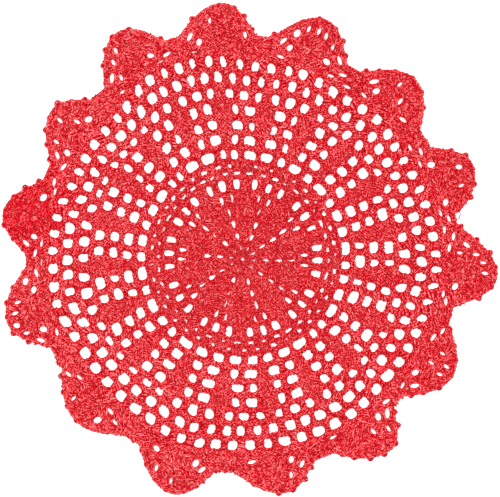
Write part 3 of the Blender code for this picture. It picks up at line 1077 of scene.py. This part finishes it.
class Finish:
    # one material; all its nodes are made here
    def __init__(self, name):
        self.material = bpy.data.materials.new(name)
        self.material.use_nodes = True
        self.tree = self.material.node_tree
        self.shader = self.tree.nodes["Principled BSDF"]

    def node(self, kind, settings=None, sockets=None, output=0):
        made = self.tree.nodes.new(kind)
        for key, value in (settings or {}).items():
            setattr(made, key, value)
        for key, value in (sockets or {}).items():
            self.feed(made.inputs[key], value)
        return Amount(self, made.outputs[output])

    def feed(self, socket, value):
        if isinstance(value, Amount):
            self.tree.links.new(value.socket, socket)
        else:
            socket.default_value = value

    def put(self, name, value):
        self.feed(self.shader.inputs[name], value)

    def maths(self, operation, *values):
        return self.node("ShaderNodeMath", {"operation": operation}, dict(enumerate(values)))

    def clamp(self, value):
        return self.node("ShaderNodeClamp", None, {0: value})

    def where(self):
        return self.node("ShaderNodeTexCoord", None, None, 3)

    def axis(self, vector, number):
        return self.node("ShaderNodeSeparateXYZ", None, {0: vector}, number)

    def noise(self, where, scale, detail=2.0):
        return self.node("ShaderNodeTexNoise", None, {"Vector": where, "Scale": scale, "Detail": detail})

    def emboss(self, height, strength, depth):
        sockets = {"Strength": strength, "Distance": depth, "Height": height}
        self.put("Normal", self.node("ShaderNodeBump", None, sockets))

    def blend(self, factor, first, second):
        return self.node("ShaderNodeMix", {"data_type": "RGBA"}, {0: factor, 6: first, 7: second}, 2)


cottonPlan = {
    # deep is the red of yarn in painted shade and of darker stitches
    "deep": (0.46, 0.0003, 0.005, 1.0),
    "red": (0.91, 0.003, 0.020, 1.0),
    # coral of the painted highlights on the yarn's crests
    "paintedHighlight": (1.0, 0.42, 0.42, 1.0),
    "plies": 3.0,
    "twist": 4.0,
    "roughness": 0.33,
    "specular": 0.12,
    "middle": 1.15,  # height in mm from which a strand stands proud, up or down
    "patchScale": 260.0,
    "fibreScale": 1900.0,
    "toneAndShade": -1.55,
    "highlightOffset": -2.43,
    "highlightAcross": 0.5,
    "dimSpot": (-0.165, 0.03, 0.001),
    "dimSpotReach": 0.055,
    "dimSpotDepth": 0.45,
    "bumpStrength": 0.5,
    "bumpDepth": 0.0002,
}


def yarnFinish():
    finish = Finish("red_cotton_yarn")
    uv = finish.node("ShaderNodeUVMap", {"uv_map": "yarn"})
    around, along = finish.axis(uv, 0), finish.axis(uv, 1)
    shade = finish.node("ShaderNodeAttribute", {"attribute_name": "shade"}, None, 2)
    spin = (around * cottonPlan["plies"] + along * cottonPlan["twist"]) * (2 * math.pi)
    ply = finish.maths("SINE", spin) * 0.5 + 0.5
    where = finish.where()
    patches = finish.noise(where, cottonPlan["patchScale"])
    fibres = finish.noise(where, cottonPlan["fibreScale"])
    # painted highlight and shade: each strand's top and bottom ridges are painted lighter than its flanks,
    # which are painted darker as if in shade
    ridge = finish.maths("COSINE", around * (4 * math.pi)) * 0.5 + 0.5
    # only what stands up out of the work, on either face, gets the painted highlight, and what lies lower
    # is painted darker as painted shade
    height = finish.maths("ABSOLUTE", finish.axis(where, 2) * 1000.0 - cottonPlan["middle"])
    proud = finish.clamp(height * 2.0 - 0.7)
    # painted highlights lie along a strand in dashes about two millimetres long; the same dashes also vary
    # the red's tone
    spot = finish.node("ShaderNodeCombineXYZ", None, {0: along * 6.0, 1: shade * 90.0})
    dashes = finish.noise(spot, 1.0, 1.0)
    # the red runs to deep as painted shade on flanks and low yarn, and varies at random with ply, dashes,
    # patches and each strand's own shade value
    toneAndShade = ridge * 0.5 + proud * 0.35 + ply * 0.15 + dashes * 2.4 + patches * 0.3 + shade * 0.15
    toneAndShade = finish.clamp(toneAndShade + cottonPlan["toneAndShade"])
    low = finish.blend(toneAndShade, cottonPlan["deep"], cottonPlan["red"])
    # painted highlights are a little stronger towards the left, and weaker round one spot on the leftmost
    # scallop
    sockets = {0: where, 1: cottonPlan["dimSpot"]}
    away = finish.node("ShaderNodeVectorMath", {"operation": "DISTANCE"}, sockets, 1)
    dimSpot = finish.clamp(1.0 - away * (1.0 / cottonPlan["dimSpotReach"]))
    across = finish.axis(where, 0) * cottonPlan["highlightAcross"]
    highlightOffset = cottonPlan["highlightOffset"] - across - dimSpot * cottonPlan["dimSpotDepth"]
    # painted highlight: coral laid over the red on the proud crests, in dashes
    highlightAmount = ridge ** 4.0 * proud * (dashes * 4.5 + patches * 0.6 + shade * 0.3 + highlightOffset)
    finish.put("Base Color", finish.blend(finish.clamp(highlightAmount), low, cottonPlan["paintedHighlight"]))
    finish.put("Roughness", fibres * 0.25 + cottonPlan["roughness"])
    finish.put("Specular IOR Level", cottonPlan["specular"])
    finish.emboss(ply * 0.7 + fibres * 0.3, cottonPlan["bumpStrength"], cottonPlan["bumpDepth"])
    return finish.material


def clothFinish():
    finish = Finish("red_cotton_shadow")
    where = finish.where()
    weave = finish.noise(where, clothPlan["weaveScale"], 3.0)
    sockets = {"Vector": where, "Scale": clothPlan["knotScale"]}
    knots = finish.node("ShaderNodeTexVoronoi", None, sockets)
    # painted highlights: coral flecks round the knots, like those painted on the yarn
    crest = finish.clamp(1.15 - knots * 2.4 + weave * 0.4)
    low = finish.blend(weave, clothPlan["deep"], clothPlan["red"])
    finish.put("Base Color", finish.blend(crest * 0.8, low, clothPlan["paintedHighlight"]))
    finish.put("Roughness", clothPlan["roughness"])
    finish.emboss(weave * 0.4 - knots * 0.8, 0.8, 0.0005)
    return finish.material


yarn = yarnFinish()
shadowCloth = clothFinish()
print("finishes made")

gapRounds = {row["bars"]: petalGaps(row) for row in petalRounds}
gapRounds.update({row["bars"]: collarGaps(row) for row in collarRounds})
gapRounds.update({row["bars"]: leafGaps(row, number) for number, row in enumerate(leafRounds, 1)})
gapRounds[tipRound["bars"]] = tipGaps()
gapRounds.update({row["bars"]: meshGaps(row, number) for number, row in enumerate(meshRounds, 5)})

shapes = [edgePlace(bearingsRound(720), clothPlan["inset"])]
shapes.append([lay(clothPlan["hubHole"], bearing) for bearing in bearingsRound(8)])
for bars, gaps in gapRounds.items():
    shapes += [gapShape(gap, bars) for gap in gaps]
eyes = findEyes()
shapes += [eyeRim(eye, scallopPlan["grown"], 8) for eye in eyes]
cloth, clothArea = baseCloth(shapes, shadowCloth)


def workRound(pile, row, outlined=True, cut=outlinePlan["cut"]):
    gaps = gapRounds[row["bars"]]
    workBetween(pile, gaps, row["bars"], row["pitch"])
    if outlined:
        workOutlines(pile, gaps, row["bars"], cut)


petalPile = YarnPile("petal_stitches")
for row in petalRounds:
    workRound(petalPile, row, row["bars"][0] > outlinePlan["petalFrom"], outlinePlan["petalCut"])
for row in collarRounds:
    workRound(petalPile, row, False)
leafPile = YarnPile("leaf_stitches")
for row in leafRounds + [tipRound]:
    workRound(leafPile, row)
meshPile = YarnPile("mesh_stitches")
for row in meshRounds:
    workRound(meshPile, row)

piles = [petalPile, leafPile, meshPile]
for plan in barPlan:
    pile = YarnPile(plan["name"])
    for distance, width in plan["bars"]:
        workChain(pile, ringLine(distance), width, True, plan["lower"])
    piles.append(pile)

fanPile = YarnPile("scallop_stitches", scallopPlan["grain"])
tipPile = YarnPile("scallop_tips", scallopPlan["grain"])
for level, pile in enumerate((fanPile, fanPile, tipPile, tipPile)):
    workRow(pile, level, eyes)
edgeBars = YarnPile("scallop_bars", scallopPlan["grain"])
workRims(edgeBars, eyes)
outlineEyes(edgeBars, eyes)
picotPile = YarnPile("picots")
workPicots(picotPile)
piles += [fanPile, tipPile, edgeBars, picotPile]

threadPlan = {
    "from": (146.8, 27.3),
    "to": (146.0, 19.8),
    "bow": 0.5,
    "curl": 0.15,
    "half": 0.42,
    "height": 1.2,
    "rings": 12,
    "dark": (0.10, 0.07, 0.08, 1.0),
    "pale": (0.30, 0.22, 0.24, 1.0),
    "roughness": 0.7,
}


def looseThread():
    # a dark yarn end that hangs across the valley at the right
    finish = Finish("dark_thread")
    dust = finish.noise(finish.where(), 700.0)
    finish.put("Base Color", finish.blend(dust, threadPlan["dark"], threadPlan["pale"]))
    finish.put("Roughness", threadPlan["roughness"])
    steps = np.linspace(0.0, 1.0, threadPlan["rings"])
    start, stop = np.array(threadPlan["from"]), np.array(threadPlan["to"])
    flat = start + (stop - start) * steps[:, None]
    flat[:, 0] += threadPlan["bow"] * np.sin(math.pi * steps)
    flat[:, 0] -= threadPlan["curl"] * np.sin(3 * math.pi * steps)
    path = np.concatenate([flat, np.full((len(steps), 1), threadPlan["height"])], axis=1)
    pile = YarnPile("loose_thread")
    pile.add(path[None], threadPlan["half"], threadPlan["half"], np.zeros(1))
    return pile.build(finish.material)


yarnPieces = [pile.build(yarn) for pile in piles]
yarnPieces.append(looseThread())
print("stitches worked")


floorPlan = {"half": 3.0, "below": 0.0003, "colour": (0.93, 0.93, 0.93, 1.0), "roughness": 0.9, "glow": 0.6}


def plainFloor():
    finish = Finish("pale_floor")
    finish.put("Base Color", floorPlan["colour"])
    finish.put("Roughness", floorPlan["roughness"])
    finish.put("Emission Color", (1.0, 1.0, 1.0, 1.0))
    finish.put("Emission Strength", floorPlan["glow"])
    mesh = bpy.data.meshes.new("floor")
    half = floorPlan["half"]
    corners = [(-half, -half, 0.0), (half, -half, 0.0), (half, half, 0.0), (-half, half, 0.0)]
    mesh.from_pydata(corners, [], [(0, 1, 2, 3)])
    mesh.materials.append(finish.material)
    floor = addObject("floor", mesh)
    floor.location.z = -floorPlan["below"]


lightPlan = {"room": 0.72, "lampFrom": (0.75, 0.4, 1.0), "lampAngle": 15.0, "lamp": 2.65}


def studioLight():
    world = bpy.data.worlds.new("studio")
    bpy.context.scene.world = world
    world.use_nodes = True
    background = world.node_tree.nodes["Background"]
    background.inputs["Color"].default_value = (1.0, 1.0, 1.0, 1.0)
    background.inputs["Strength"].default_value = lightPlan["room"]
    lamp = bpy.data.lights.new("lamp", "SUN")
    lamp.angle = math.radians(lightPlan["lampAngle"])
    lamp.energy = lightPlan["lamp"]
    hung = addObject("lamp", lamp)
    hung.location = lightPlan["lampFrom"]
    hung.rotation_euler = (-hung.location).to_track_quat("-Z", "Y").to_euler()


cameraPlan = {"height": 1.3, "view": 0.350, "sensor": 36.0}


def overheadCamera():
    camera = bpy.data.cameras.new("camera")
    camera.sensor_width = cameraPlan["sensor"]
    camera.lens = cameraPlan["sensor"] * cameraPlan["height"] / cameraPlan["view"]
    holder = addObject("camera", camera)
    holder.location.z = cameraPlan["height"]
    bpy.context.scene.camera = holder


plainFloor()
studioLight()
overheadCamera()
bpy.context.scene.view_settings.view_transform = "Standard"
print("floor, light and camera set")
